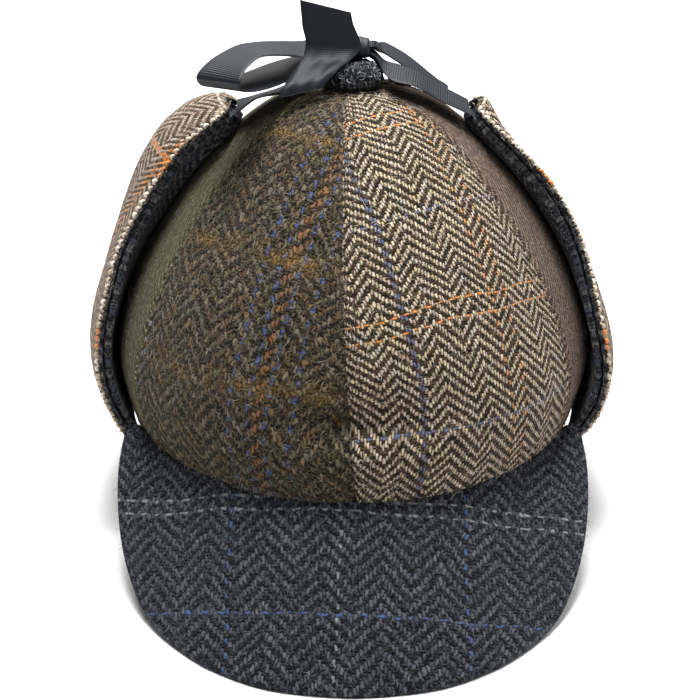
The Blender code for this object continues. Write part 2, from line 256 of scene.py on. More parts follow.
def noise(tree, where, scale, detail=2.0, rough=0.5, output="Fac"):
    """A noise value about 0.5 at a vector."""
    return node(tree, "ShaderNodeTexNoise", {"Vector": where, "Scale": scale, "Detail": detail,
                                             "Roughness": rough}).outputs[output]


def shake(tree, where, scale, reach):
    """A vector moved by up to half of `reach` metres, by noise of the given scale."""
    move = vector(tree, "SUBTRACT", noise(tree, where, scale, 1.0, 0.5, "Color"), (0.5, 0.5, 0.5))
    return vector(tree, "ADD", where, vector(tree, "MULTIPLY", move, (reach,) * 3))


def spread(tree, value, low, high, out_low=0.0, out_high=1.0):
    """Stretches a value from one range to another, held at the ends."""
    ends = {0: value, 1: low, 2: high, 3: out_low, 4: out_high}
    return node(tree, "ShaderNodeMapRange", ends).outputs[0]


def palette(tree, value, colours):
    """One of several colours by a value between 0 and 1."""
    ramp = node(tree, "ShaderNodeValToRGB", {0: value})
    ramp.color_ramp.interpolation = "CONSTANT"
    while len(ramp.color_ramp.elements) < len(colours):
        ramp.color_ramp.elements.new(0.5)
    for number, colour in enumerate(colours):
        ramp.color_ramp.elements[number].position = number / len(colours)
        ramp.color_ramp.elements[number].color = (*colour, 1)
    return ramp.outputs[0]


def tweed(name, warp, weft, columns, lines, thread, hair=None, wobble=1.0, depth=0.9):
    """Woven wool. Every thread has a whole number along and across, and the twill rule (thread number
    plus row number, over four, two up and two down) says which lies on top; the thread number runs
    back and forth over `columns` threads to give the herringbone. Each float is rounded across and
    towards its ends: (1 - across squared) times (1 - along to the fourth).

    warp and weft are the colours that floats pick from. lines are (kind, place, threads, colour,
    strength). hair is (colour, share, strength) for loose fibres over the weave. wobble is how far
    threads stray, in threads, and depth is how dark the painted shade is in the gaps between floats:
    the colour is multiplied by each float's rounded shape, which paints shade at its sides and ends and
    a slight painted highlight on its crest."""
    material, tree, shader = new_material(name, 0.95, 0.15, 0.04)
    uv = node(tree, "ShaderNodeUVMap", uv_map="cloth").outputs[0]
    placed = shake(tree, uv, WANDER_SCALE, CLOTH_WANDER)
    shaken = shake(tree, placed, 0.55 / thread, thread * wobble)
    parts = node(tree, "ShaderNodeSeparateXYZ", {0: shaken})
    across, along = (calc(tree, "DIVIDE", parts.outputs[k], thread) for k in (0, 1))
    i, j = calc(tree, "FLOOR", across), calc(tree, "FLOOR", along)
    part_i, part_j = calc(tree, "FRACT", across), calc(tree, "FRACT", along)
    place = calc(tree, "FLOORED_MODULO", i, sum(columns))
    turned = calc(tree, "GREATER_THAN", place, columns[0] - 0.5)
    run = between(tree, turned, place, calc(tree, "SUBTRACT", 2 * columns[0], place))
    count = calc(tree, "ADD", run, j)
    step = calc(tree, "FLOORED_MODULO", count, 4)
    over = calc(tree, "LESS_THAN", step, 1.5)

    # Where on its float a point lies, from end to end and from side to side
    ahead = between(tree, turned, part_i, calc(tree, "SUBTRACT", 1, part_i))
    on_warp = calc(tree, "ADD", step, part_j)
    on_weft = calc(tree, "SUBTRACT", calc(tree, "ADD", step, ahead), 2)
    length = calc(tree, "SUBTRACT", between(tree, over, on_weft, on_warp), 1)
    side = calc(tree, "SUBTRACT", between(tree, over, part_j, part_i), 0.5)
    side = calc(tree, "MULTIPLY", side, 2)
    grain = calc(tree, "MULTIPLY", rounded(tree, side, 2), rounded(tree, length, 4))
    fibre = noise(tree, shaken, FIBRE_SCALE, 2.0, 0.7)

    # Every float has its own shade; the weft's draws are set 900 rows apart from the warp's
    float_row = calc(tree, "FLOOR", calc(tree, "DIVIDE", count, 4))
    colours = []
    for number, row, shades in ((i, float_row, warp), (j, calc(tree, "ADD", float_row, 900), weft)):
        key = node(tree, "ShaderNodeTexWhiteNoise", {"Vector": pair(tree, number, row)},
                   noise_dimensions="2D")
        colours.append(palette(tree, key.outputs["Value"], shades))
    colour_i, colour_j = colours
    for kind, spot, threads, colour, strength in lines:
        number = i if kind in ("up", "dash") else j
        half = (threads - 1) / 2
        mask = calc(tree, "COMPARE", number, math.floor(spot / thread - half) + half, half + 0.4)
        mask = calc(tree, "MULTIPLY", mask, strength)
        if kind == "soft":
            far = calc(tree, "ABSOLUTE", calc(tree, "SUBTRACT", parts.outputs[1], spot))
            mask = calc(tree, "MULTIPLY", spread(tree, far, 0.0, threads * thread, strength, 0.0),
                        spread(tree, noise(tree, placed, 90.0), 0.4, 0.6))
        if kind == "dash":
            again = calc(tree, "LESS_THAN", calc(tree, "FLOORED_MODULO", calc(tree, "ADD", j, 1), 4), 1.5)
            mask = calc(tree, "MULTIPLY", mask, again)
        if kind != "across":
            colour_i = blend(tree, mask, colour_i, colour)
        if kind != "up":
            colour_j = blend(tree, mask, colour_j, colour)
    colour = blend(tree, over, colour_j, colour_i)
    # Painted shade and highlight: each float's colour is darkened towards its sides and ends and in the gaps
    # between floats, and lightened a little on its crest; the fibre noise is the yarn's own uneven tone
    shade = spread(tree, grain, 0.0, 1.0, 1 - depth, 1.15)
    shade = calc(tree, "MULTIPLY", shade, spread(tree, fibre, 0.25, 0.75, 0.3, 1.7))
    float_shade_and_fibre_tone = node(tree, "ShaderNodeCombineColor", {0: shade, 1: shade, 2: shade}).outputs[0]
    colour = blend(tree, 1.0, colour, float_shade_and_fibre_tone, "MULTIPLY")
    height = calc(tree, "ADD", grain, calc(tree, "MULTIPLY", fibre, 0.6))
    if hair:
        # Loose fibres: thin ridges of two noises that are stretched along curving directions
        bent = shake(tree, placed, 260.0, 0.003)
        fibres = None
        for turn, sizes in HAIR_STREAKS:
            laid = node(tree, "ShaderNodeMapping", {0: bent, 2: (0, 0, turn), 3: sizes},
                        vector_type="TEXTURE").outputs[0]
            streak = noise(tree, laid, 1.0, 1.0, 0.5)
            fibres = streak if fibres is None else calc(tree, "MAXIMUM", fibres, streak)
        strand_colour, share, strength = hair
        mask = spread(tree, fibres, share, share + 0.14, 0.0, strength)
        colour = blend(tree, mask, colour, strand_colour)
        height = calc(tree, "ADD", height, calc(tree, "MULTIPLY", mask, 0.7))
    tree.links.new(colour, shader.inputs["Base Color"])
    bump = node(tree, "ShaderNodeBump", {"Strength": 1.0, "Distance": CLOTH_RELIEF * thread,
                                         "Height": height})
    tree.links.new(bump.outputs[0], shader.inputs["Normal"])
    return material


def plain(name, colours, roughness=0.95, specular=0.15):
    """Yarn or hair that picks one of several colours by its UV place."""
    material, tree, shader = new_material(name, roughness, specular)
    uv = node(tree, "ShaderNodeUVMap", uv_map="cloth").outputs[0]
    pick = node(tree, "ShaderNodeSeparateXYZ", {0: uv}).outputs[0]
    tree.links.new(palette(tree, pick, colours), shader.inputs["Base Color"])
    return material


def put(piece, material, node_name=None):
    """Gives a piece its material, hides the CAD node that it stands for, and puts it under its body."""
    piece.data.materials.append(material)
    if node_name:
        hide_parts(node_name)
    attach(piece, "root")
    return piece


def fuzz(name, points, normals, count, hair, material, seed):
    """Loose hairs that start at random points of a grid and bend over along the cloth. `hair` is the
    length, the rise and the thickness."""
    pick = np.random.default_rng(seed)
    length, lift, width = hair
    rows, size = points.shape[:2]
    row, column = pick.integers(0, rows, count), pick.integers(0, size, count)
    normal = normals[row, column]
    flat = unit(np.cross(normal, pick.normal(size=(count, 3))))
    bend = np.cross(normal, flat) * pick.normal(0, 0.5, (count, 1))
    reach = length * pick.uniform(0.5, 1.5, (count, 1))
    rise = lift * pick.uniform(0.2, 1.0, (count, 1))
    start = points[row, column] + pick.normal(0, HAIR_SCATTER, (count, 3)) - normal * HAIR_SINK
    path = [start + flat * reach * t + bend * reach * t * t + normal * (rise * t * (1.5 - t) + HAIR_CLEAR)
            for t in (0.0, 0.5, 1.0)]
    for place in path:
        place[:, 2] = np.maximum(place[:, 2], width)
    thick = np.tile([[width, width, width * 0.3]], (count, 1)) / 2
    piece = strands(name, np.stack(path, 1), thick, normal, pick.uniform(0, 1, (count, 2)))
    return put(piece, material)


# Gores and seams; each groove has a depth and a width
CROWN_CLOTH = 0.0025
FRONT_GORE_ANGLE = 61.0
HEM_ANGLE = -2.3
TOP_HOLE_ANGLE = 87.5
SEAM_GROOVE = (0.002, 0.001)
STITCH_GROOVE = (0.0004, 0.0008)
HEM_ROLL = (0.0022, 0.0016)
HEM_GROOVE = (0.0006, 0.0009)
GROOVE_LIMIT = 0.0022
SWELL = 0.0005
FRONT_GRID = (120, 100)
OTHER_GRID = (70, 60)
SEAM_CROWDING = 1.35
TOP_RADIUS = 0.002
SPINE_RADIUS = 0.004
LEVEL_GAIN_LIMIT = 0.02
# Stitches: places, spacing, length, thickness, and the lift of each stitch along its length
STITCH_FROM_SEAM = 0.0037
STITCH_FROM_HEM = 0.0042
STITCH_PITCH = 0.0036
STITCH_LENGTH = 0.0027
STITCH_RADIUS = 0.00022
STITCH_LIFT = ((0.0, -0.0015), (0.15, -0.0003), (0.5, -0.00015), (0.85, -0.0003), (1.0, -0.0015))
# Loose hairs: length, rise and thickness, and how far their roots scatter, sink and clear the cloth
CROWN_HAIR = (0.0024, 0.0007, 0.00013)
FRONT_HAIRS = 2200
OTHER_HAIRS = 700
HAIR_SCATTER = 0.0006
HAIR_SINK = 0.0003
HAIR_CLEAR = 0.0002
# The front seam's own drift: degrees up from the hem, metres to the viewer's right
SEAM_DRIFT = ((-12, 0.0008), (0, 0.0008), (12, -0.0012), (30, -0.0030), (45, -0.0040), (90, -0.0040))

ORANGE = (0.55, 0.20, 0.045)
BLUE = (0.042, 0.075, 0.20)
PALE_BLUE = (0.13, 0.18, 0.30)
RUST = (0.22, 0.075, 0.02)
OCHRE = (0.30, 0.17, 0.03)

olive_tweed = tweed(
    "olive_tweed", ((0.095, 0.070, 0.040), (0.16, 0.125, 0.08), (0.08, 0.045, 0.018), (0.11, 0.095, 0.07),
                    (0.13, 0.08, 0.03), (0.06, 0.058, 0.025)),
    ((0.012, 0.009, 0.005), (0.028, 0.020, 0.011), (0.008, 0.007, 0.005)), (7, 7),
    [("dash", 0.0070, 1, BLUE, 0.95), ("dash", 0.0132, 1, BLUE, 0.95), ("up", 0.0170, 2, RUST, 0.7),
     ("dash", 0.0215, 1, BLUE, 0.95), ("dash", 0.0290, 1, BLUE, 0.95), ("up", -0.0470, 2, PALE_BLUE, 0.6),
     ("soft", 0.0970, 4, OCHRE, 0.5), ("soft", 0.1455, 3, OCHRE, 0.55), ("soft", 0.0480, 4, OCHRE, 0.45)],
    0.00144, hair=((0.16, 0.13, 0.09), 0.55, 0.6), wobble=2.3, depth=0.95)
beige_herringbone = tweed(
    "beige_herringbone", ((0.52, 0.42, 0.29), (0.42, 0.34, 0.24), (0.50, 0.42, 0.32), (0.34, 0.26, 0.19),
                          (0.46, 0.37, 0.22), (0.40, 0.34, 0.29)),
    ((0.020, 0.013, 0.007), (0.050, 0.032, 0.018), (0.013, 0.010, 0.006)), (10, 6),
    [("up", 0.0107, 1, ORANGE, 0.85), ("up", 0.0173, 1, ORANGE, 0.85), ("up", -0.0265, 2, BLUE, 0.8),
     ("up", 0.0545, 2, BLUE, 0.8),
     ("across", 0.0711, 1, ORANGE, 0.95), ("across", 0.0770, 1, ORANGE, 0.95),
     ("across", 0.0326, 1, PALE_BLUE, 0.6), ("across", 0.1140, 1, PALE_BLUE, 0.6),
     ("across", 0.1526, 1, ORANGE, 0.95), ("across", 0.1595, 1, ORANGE, 0.95)],
    0.0011, hair=((0.24, 0.18, 0.125), 0.57, 0.5), wobble=1.5, depth=0.95)
green_tweed = tweed(
    "green_tweed", ((0.14, 0.135, 0.07), (0.20, 0.19, 0.12), (0.11, 0.10, 0.05)),
    ((0.05, 0.045, 0.02), (0.08, 0.07, 0.04)), (400, 400), [("up", 0.0, 1, OCHRE, 0.5)], 0.0007,
    hair=((0.25, 0.23, 0.16), 0.58, 0.4), depth=0.7)
brown_tweed = tweed(
    "brown_tweed", ((0.20, 0.13, 0.09), (0.27, 0.20, 0.15), (0.15, 0.10, 0.08)),
    ((0.04, 0.026, 0.02), (0.09, 0.06, 0.045)), (400, 400), [("up", 0.0, 1, RUST, 0.6)], 0.0007,
    hair=((0.32, 0.26, 0.20), 0.58, 0.4), depth=0.7)
seam_thread = plain("seam_thread", ((0.025, 0.018, 0.010), (0.035, 0.025, 0.015)), 0.6)


def level_radius(up):
    """The crown's sideways radius: half the hem's width times the cosine of the angle up, and a little
    more so that it is never nothing."""
    return HEM_WIDTH / 2 * np.cos(np.radians(up)) + TOP_RADIUS


def drifted(side, up):
    """The side angle after the front seam's drift: the drift over the crown's own radius there, less
    and less away from the front."""
    window = np.cos(np.radians(np.minimum(np.abs(side) / FRONT_GORE_ANGLE, 1) * 90)) ** 2
    return side + np.degrees(smooth(SEAM_DRIFT, 1, up) / level_radius(up)) * window


def groove(distance, size):
    """How deep a groove is at a distance from its middle: its depth times a bell curve of its width."""
    return size[0] * np.exp(-(distance / size[1]) ** 2)


def gore(name, start, end, material, seed):
    """One crown panel between two seams, in degrees round from the front. The cloth's own place is the
    arc along a level line from the panel's middle, and the height up that middle plus what a straight
    thread gains there. The seam moves over the cloth, which keeps its own place."""
    rows, size = FRONT_GRID if 0.0 in (start, end) else OTHER_GRID
    low = rows // 5
    ups = np.concatenate([np.linspace(HEM_ANGLE, 4, low + 1),
                          np.linspace(4, TOP_HOLE_ANGLE, rows - low)[1:]])[:, None]
    share = np.linspace(-1, 1, size)[None, :]
    share = np.sign(share) * (1 - (1 - np.abs(share)) ** SEAM_CROWDING)
    plain_sides = (start + end) / 2 + (end - start) / 2 * share + 0 * ups
    sides = drifted(plain_sides, ups)
    outside = crown(sides, ups)
    normal = crown_normal(sides, ups)
    arc = run_along(outside)
    from_seam = np.minimum(arc, arc[:, -1:] - arc)
    still = run_along(crown(plain_sides, ups))
    arc = still - still[:, -1:] / 2 + np.radians(sides - plain_sides) * level_radius(ups)
    spine = crown(np.full(rows, (start + end) / 2), ups[:, 0])
    rise = run_along(spine)[:, None]
    radius = np.linalg.norm(spine[:, :2] - [0, TOP_SET_BACK], axis=1)[:, None] + SPINE_RADIUS
    gain = arc ** 2 * np.sin(np.radians(np.maximum(ups, 0))) / (2 * radius)
    straight = rise + np.minimum(gain, LEVEL_GAIN_LIMIT)
    dip = groove(from_seam, SEAM_GROOVE)
    if 0.0 in (start, end):
        dip += groove(from_seam - STITCH_FROM_SEAM, STITCH_GROOVE)
    dip = dip + groove(rise, HEM_ROLL) + groove(rise - STITCH_FROM_HEM, HEM_GROOVE)
    swell = SWELL * wave(arc, rise, 0.05, seed) * np.minimum(from_seam / 0.01, 1)
    inside = outside - normal * CROWN_CLOTH
    outside = outside + normal * (swell - np.minimum(dip, GROOVE_LIMIT))[..., None]
    piece = shell(name, outside, inside, np.stack([arc, straight], -1))
    put(piece, material, "crown_panel_" + name)
    return outside, normal


BACK_SEAM = 180 - FRONT_GORE_ANGLE
PANELS = (("front_left", -FRONT_GORE_ANGLE, 0.0, olive_tweed, "olive_tweed"),
          ("front_right", 0.0, FRONT_GORE_ANGLE, beige_herringbone, "beige_herringbone"),
          ("side_left", -BACK_SEAM, -FRONT_GORE_ANGLE, green_tweed, "green_tweed"),
          ("side_right", FRONT_GORE_ANGLE, BACK_SEAM, brown_tweed, "brown_tweed"),
          ("back_left", -180.0, -BACK_SEAM, beige_herringbone, "beige_herringbone"),
          ("back_right", BACK_SEAM, 180.0, olive_tweed, "olive_tweed"))
brown_hair = plain("brown_hair", ((0.30, 0.25, 0.17), (0.18, 0.13, 0.08), (0.36, 0.33, 0.27),
                                  (0.12, 0.10, 0.06)))
cream_hair = plain("cream_hair", ((0.60, 0.52, 0.40), (0.42, 0.35, 0.26), (0.10, 0.07, 0.04),
                                  (0.5, 0.46, 0.4)))
for seed, (name, start, end, material, slot) in enumerate(PANELS):
    outside, normal = gore(name, start, end, material, seed)
    hairs = FRONT_HAIRS if "front" in name else OTHER_HAIRS
    fuzz("fuzz_" + name, outside[2:], normal[2:], hairs, CROWN_HAIR,
         cream_hair if material is beige_herringbone else brown_hair, seed + 20)


def stitches(name, sides, ups):
    """A row of stitches on the crown through places that follow each other: each one dives at both of
    its ends."""
    points, normal = crown(sides, ups), crown_normal(sides, ups)
    run = run_along(points)
    starts = np.arange(0.001, run[-1] - 0.003, STITCH_PITCH)
    path, out = [], []
    for share, lift in STITCH_LIFT:
        at = starts + STITCH_LENGTH * share
        spot = on_line(at, run, points)
        off = unit(on_line(at, run, normal))
        path.append(spot + off * lift)
        out.append(off)
    across = unit(np.cross(out[2], path[4] - path[0]))
    thick = np.full((len(starts), len(STITCH_LIFT)), STITCH_RADIUS)
    piece = strands(name, np.stack(path, 1), thick, across,
                    np.random.default_rng(4).uniform(0, 1, (len(starts), 2)))
    return put(piece, seam_thread)


rising = np.linspace(0.5, 82, 400)
for name, hand in (("left", -1), ("right", 1)):
    off_seam = hand * np.degrees(STITCH_FROM_SEAM / (HEM_WIDTH / 2 * np.cos(np.radians(rising))))
    stitches("seam_stitches_" + name, drifted(np.zeros_like(rising), rising) + off_seam, rising)
around = np.linspace(-180, 180, 1600)
above_hem = math.degrees(STITCH_FROM_HEM / CROWN_HEIGHT)
stitches("hem_stitches", around, np.full_like(around, HEM_ANGLE + above_hem))

# Peaks: two layers of charcoal herringbone over a stiff board, sewn to the hem and turned at the
# rounded edge without a stitch showing.
PEAK_REACH = 0.056
PEAK_THICKNESS = 0.004
PEAK_END_ANGLE = 65.0
PEAK_BULGE = 0.0015
PEAK_SWELL = 0.0003
PEAK_TUCK = 0.0006
PEAK_GRID = (121, 48)
RIM_STEPS = 10
PEAK_HAIR = (0.0017, 0.0004, 0.0001)
# Rows: share of the way to the end, share of the reach, share of the drop
PEAK_EDGE = ((0, 1.0, 1.0), (0.15, 0.975, 1.0), (0.3, 0.875, 1.0), (0.42, 0.755, 1.0),
             (0.54, 0.635, 0.95), (0.65, 0.52, 0.82), (0.77, 0.4, 0.58), (0.89, 0.27, 0.26),
             (1.0, 0.134, 0.01))
# The cloth's slope, and how far it is turned: sideways for each unit down, and down for each sideways
PEAK_SLOPE = math.radians(53)
PEAK_TURN = (0.026, -0.0487)
PALE = (0.20, 0.215, 0.22)
PEAK_BLUE = (0.045, 0.075, 0.18)
charcoal_herringbone = tweed(
    "charcoal_herringbone", ((0.050, 0.055, 0.066), (0.078, 0.083, 0.096), (0.034, 0.038, 0.048),
                             (0.060, 0.066, 0.082)),
    ((0.004, 0.005, 0.007), (0.009, 0.010, 0.014)), (8, 8),
    [("across", 0.0031, 1, PALE, 0.9), ("across", -0.0025, 1, PALE, 0.9),
     ("across", 0.0409, 1, PEAK_BLUE, 0.95),
     ("up", -0.0050, 1, PALE, 0.7), ("up", 0.0410, 1, PEAK_BLUE, 0.95), ("up", -0.0440, 1, PEAK_BLUE, 0.95)],
    0.0013, hair=((0.10, 0.107, 0.122), 0.56, 0.5), wobble=1.7, depth=0.95)


def peak(name, facing):
    """A peak from the hem to its edge. `facing` is -1 for the front and 1 for the back. Each cross
    section runs over the top, round the edge and back underneath. The cloth's place is the plan turned
    down by the slope: forward times its cosine plus drop times its sine."""
    radius = PEAK_THICKNESS / 2
    turn = np.linspace(-1, 1, PEAK_GRID[0])
    angle = np.radians(turn * PEAK_END_ANGLE)
    hem = np.stack([HEM_WIDTH / 2 * np.sin(angle), -HEM_LENGTH / 2 * np.cos(angle)], -1)
    away = unit(np.stack([HEM_LENGTH * np.sin(angle), -HEM_WIDTH * np.cos(angle)], -1))
    reach = PEAK_REACH * smooth(PEAK_EDGE, 1, np.abs(turn))
    drop = PEAK_DROP * smooth(PEAK_EDGE, 2, np.abs(turn))
    seam = np.column_stack([hem - away * PEAK_TUCK, np.full(len(turn), PEAK_DROP)])
    edge = np.column_stack([hem + away * reach[:, None], PEAK_DROP - drop])
    out = unit(edge - seam)
    along = np.column_stack([-away[:, 1], away[:, 0], np.zeros(len(turn))])
    top = unit(np.cross(out, along))
    top *= np.sign(top[:, 2:])
    centre = edge - out * radius
    share = np.linspace(0, 1, PEAK_GRID[1])[None, :, None]
    crest = PEAK_BULGE * np.sin(np.pi * share) * top[:, None]
    above = seam[:, None] + (centre + top * radius - seam)[:, None] * share + crest
    low_seam = seam - np.column_stack([np.zeros((len(turn), 2)), PEAK_THICKNESS / top[:, 2]])
    below = low_seam[:, None] + (centre - top * radius - low_seam)[:, None] * share + crest
    bend = np.radians(90 - 180 * np.arange(1, RIM_STEPS + 1) / (RIM_STEPS + 1))[None, :, None]
    rim = centre[:, None] + radius * (np.cos(bend) * out[:, None] + np.sin(bend) * top[:, None])
    half = RIM_STEPS // 2
    ring = np.concatenate([above, rim[:, :half]], 1)
    under = np.concatenate([below, rim[:, :half - 1:-1]], 1)
    ring[..., 2] += PEAK_SWELL * wave(ring[..., 0], ring[..., 1], 0.04, 5)
    for grid in (ring, under):
        grid[..., 2] = np.maximum(grid[..., 2], 0)
    spots = []
    for grid in (ring, under):
        down = ((-grid[..., 1] - HEM_LENGTH / 2) * math.cos(PEAK_SLOPE)
                + (PEAK_DROP - grid[..., 2]) * math.sin(PEAK_SLOPE))
        spots.append(np.stack([grid[..., 0] + PEAK_TURN[0] * down, down + PEAK_TURN[1] * grid[..., 0]], -1))
    if facing > 0:
        for grid in (ring, under):
            grid[..., :2] *= -1
    piece = shell(name + "_cloth", ring, under, *spots)
    put(piece, charcoal_herringbone, name)
    normal = np.broadcast_to((top if facing < 0 else top * [-1, -1, 1])[:, None], ring.shape)
    return ring, normal


grey_hair = plain("grey_hair", ((0.14, 0.147, 0.16), (0.08, 0.086, 0.10), (0.20, 0.21, 0.225),
                                (0.04, 0.044, 0.055)))
for name, facing, count, seed in (("front_peak", -1, 3200, 31), ("back_peak", 1, 1000, 32)):
    ring, normal = peak(name, facing)
    fuzz("fuzz_" + name, ring, normal, count, PEAK_HAIR, grey_hair, seed)

# Ear flaps: an outer tweed and a dark facing, sewn round the edge and turned, tied up over the crown so
# that the outer cloth is what shows from the sides. Its pale floats stand up in a row along the edge.
FLAP_HALF_ANGLE = 23.5
FLAP_TOP_ANGLE = 62.5
FLAP_CLOTH = 0.003
FACING_CLOTH = 0.0025
FACING_INSET = 0.0012
FLAP_FOOT = 0.0009
OUTER_START = FACING_CLOTH + 0.0006
FLAP_LIFT = 0.01
FLAP_SWELL = 0.0005
FLAP_GRID = (92, 64)
# The facing's inside lies close to the crown from this place on; -1 is the front edge, 1 the rear one
SAG_PLACE = -0.3
FLAP_HAIR = (0.0022, 0.0007, 0.00013)
FACING_HAIR = (0.0018, 0.0005, 0.00012)
# Yarn along the edge: spacing, half length, and how its lift and its radius run from end to end
YARN_PITCH = 0.0029
YARN_HALF = 0.0011
YARN_LIFT = ((-1, -0.0008), (-0.6, 0.0), (0.0, 0.0004), (0.6, 0.0), (1, -0.0008))
YARN_RADIUS = (0.0003, 0.00062, 0.00078, 0.00062, 0.0003)
# Rows: share of the top angle, share of the half angle, lift in centimetres at the front edge, the
# middle and the rear edge
FLAP_LEFT = ((-0.03, 0.97, 0, 0, 0), (0.03, 1, 0.19, 0.19, 0.19), (0.09, 1, 0.32, 0.32, 0.32),
             (0.17, 1, 0.48, 0.36, 0.4), (0.27, 0.97, 0.68, 0.4, 0.35),
             (0.37, 0.9, 0.76, 0.49, 0.25), (0.48, 0.82, 0.86, 0.68, 0.15),
             (0.59, 0.77, 0.86, 1, 0.1), (0.7, 0.74, 0.86, 1.3, 0.05),
             (0.8, 0.74, 0.91, 1.46, 0.05), (0.89, 0.74, 0.76, 1.38, 0.05),
             (0.95, 0.7, 0.6, 1.11, 0.05), (0.985, 0.6, 0.5, 0.83, 0.05), (1, 0.4, 0.45, 0.59, 0.1))
FLAP_RIGHT = ((-0.03, 0.97, 0, 0, 0), (0.03, 1, 0.32, 0.29, 0.24), (0.09, 1, 0.49, 0.3, 0.2),
              (0.17, 1, 0.55, 0.14, 0.06), (0.27, 0.97, 0.54, 0.06, 0.03),
              (0.37, 0.88, 0.58, 0.04, 0.02), (0.48, 0.78, 0.73, 0.04, 0.02),
              (0.59, 0.7, 0.82, 0.04, 0.02), (0.7, 0.64, 0.74, 0.06, 0.04),
              (0.8, 0.62, 0.62, 0.12, 0.05), (0.89, 0.62, 0.52, 0.3, 0.05),
              (0.95, 0.58, 0.47, 0.54, 0.05), (0.985, 0.49, 0.44, 0.64, 0.05),
              (1, 0.35, 0.4, 0.56, 0.1))
pink_beige_herringbone = tweed(
    "pink_beige_herringbone", ((0.42, 0.33, 0.25), (0.33, 0.26, 0.20), (0.38, 0.33, 0.28),
                               (0.29, 0.21, 0.15)),
    ((0.08, 0.053, 0.036), (0.055, 0.037, 0.026), (0.12, 0.09, 0.07)), (8, 8),
    [("across", 0.02, 2, ORANGE, 0.9), ("across", 0.105, 3, ORANGE, 0.9), ("up", -0.0205, 3, ORANGE, 0.8),
     ("up", 0.020, 3, PALE_BLUE, 0.6)], 0.0007, depth=0.6)
dark_facing = tweed(
    "dark_facing", ((0.09, 0.092, 0.10), (0.15, 0.152, 0.155), (0.055, 0.065, 0.105), (0.075, 0.077, 0.085)),
    ((0.015, 0.017, 0.024), (0.026, 0.028, 0.040)), (8, 8), [], 0.0011,
    hair=((0.30, 0.28, 0.26), 0.59, 0.6))
edge_yarn = plain("edge_yarn", ((0.66, 0.58, 0.46), (0.55, 0.47, 0.36), (0.72, 0.66, 0.56),
                                (0.45, 0.36, 0.27), (0.60, 0.50, 0.38), (0.62, 0.24, 0.08)))


def flap_layer(name, hand, inner, thickness, inset, materials, node_name):
    """One layer of a flap. `hand` is 1 for the viewer's right. `inner` is how far its inside lies above
    the flap's foot, and `inset` narrows it all round. The lift is a parabola through the values at the
    front edge, the middle and the rear edge. Its edges are rounded over. With an inset, the inside sags
    back to the crown behind the front edge."""
    rows, size = FLAP_GRID
    height = np.linspace(-0.03, 1, rows)
    shorter = math.degrees(inset / CROWN_HEIGHT) * np.maximum(height, 0)
    up = (FLAP_TOP_ANGLE * height - shorter)[:, None]
    table = FLAP_LEFT if hand < 0 else FLAP_RIGHT
    half = FLAP_HALF_ANGLE * smooth(table, 1, height)[:, None]
    place = np.sin(np.linspace(-np.pi / 2, np.pi / 2, size))[None, :]
    place = place * (1 - np.degrees(inset / crown(90.0, up)[..., 0]) / half)
    front, mid, rear = (FLAP_LIFT * smooth(table, k, up / FLAP_TOP_ANGLE) for k in (2, 3, 4))
    lift = mid + (rear - front) / 2 * place + ((rear + front) / 2 - mid) * place ** 2
    sides = 90 + half * place
    base, normal = crown(sides, up), crown_normal(sides, up)
    reach = np.linalg.norm(crown(90 + half, up) - crown(90.0, up), axis=2)
    tip = (1 - height)[:, None] * math.radians(FLAP_TOP_ANGLE) * CROWN_HEIGHT
    from_edge = np.minimum(reach * (np.abs(place[:, :1]) - np.abs(place)), tip)
    outer = 1 - np.minimum(from_edge / (thickness * 0.6), 1)
    bevel = thickness / 2 * (1 - np.sqrt(1 - outer ** 2 * 0.98))
    middle = FLAP_FOOT + inner + lift
    arc = reach * place
    rise = run_along(crown(90.0, up[:, 0]))[:, None]
    swell = FLAP_SWELL * wave(arc, rise + hand, 0.04, 9) * np.minimum(from_edge / 0.006, 1)
    over = base + normal * (middle + thickness - bevel + swell)[..., None]
    hang = np.clip((SAG_PLACE - place) / (1 + SAG_PLACE), 0, 1) if inset else 1.0
    under = base + normal * (FLAP_FOOT + inner + lift * hang + bevel)[..., None]
    spots = np.stack([arc, np.broadcast_to(rise, arc.shape)], -1)
    for grid in (over, under, normal):
        grid[..., 0] *= hand
    if hand < 0:
        over, under, spots, normal = over[:, ::-1], under[:, ::-1], spots[:, ::-1], normal[:, ::-1]
    piece = shell(name, over, under, spots, lined=len(materials) > 1)
    put(piece, materials[0], node_name)
    for extra in materials[1:]:
        piece.data.materials.append(extra)
    return over, normal


def edge_floats(name, over, normal, hand, seed):
    """Pale floats of the outer cloth in a row along the flap's front edge, round its tip and back."""
    pick = np.random.default_rng(seed)
    front, rear = (3, -4) if hand > 0 else (-4, 3)
    line = np.concatenate([over[3:-2, front], over[-2, ::hand][3:-3], over[-3:3:-1, rear]])
    out = np.concatenate([normal[3:-2, front], normal[-2, ::hand][3:-3], normal[-3:3:-1, rear]])
    run = run_along(line)
    at = np.arange(0.001, run[-1] - 0.003, YARN_PITCH)
    at = at + pick.uniform(-0.0003, 0.0003, len(at))
    path = []
    for share, lift in YARN_LIFT:
        place = at + YARN_HALF * share
        spot = on_line(place, run, line)
        off = unit(on_line(place, run, out))
        path.append(spot + off * lift)
    thick = np.array([YARN_RADIUS]) * pick.uniform(0.75, 1.15, (len(at), 1))
    tone = pick.uniform(0, 0.83, (len(at), 2))
    # Now and then the yarn is the last colour, orange, for a few floats
    tone[np.abs((at / run[-1] * 9) % 2 - 1.2) < 0.14, 0] = 0.9
    put(strands(name, np.stack(path, 1), thick, off, tone), edge_yarn)


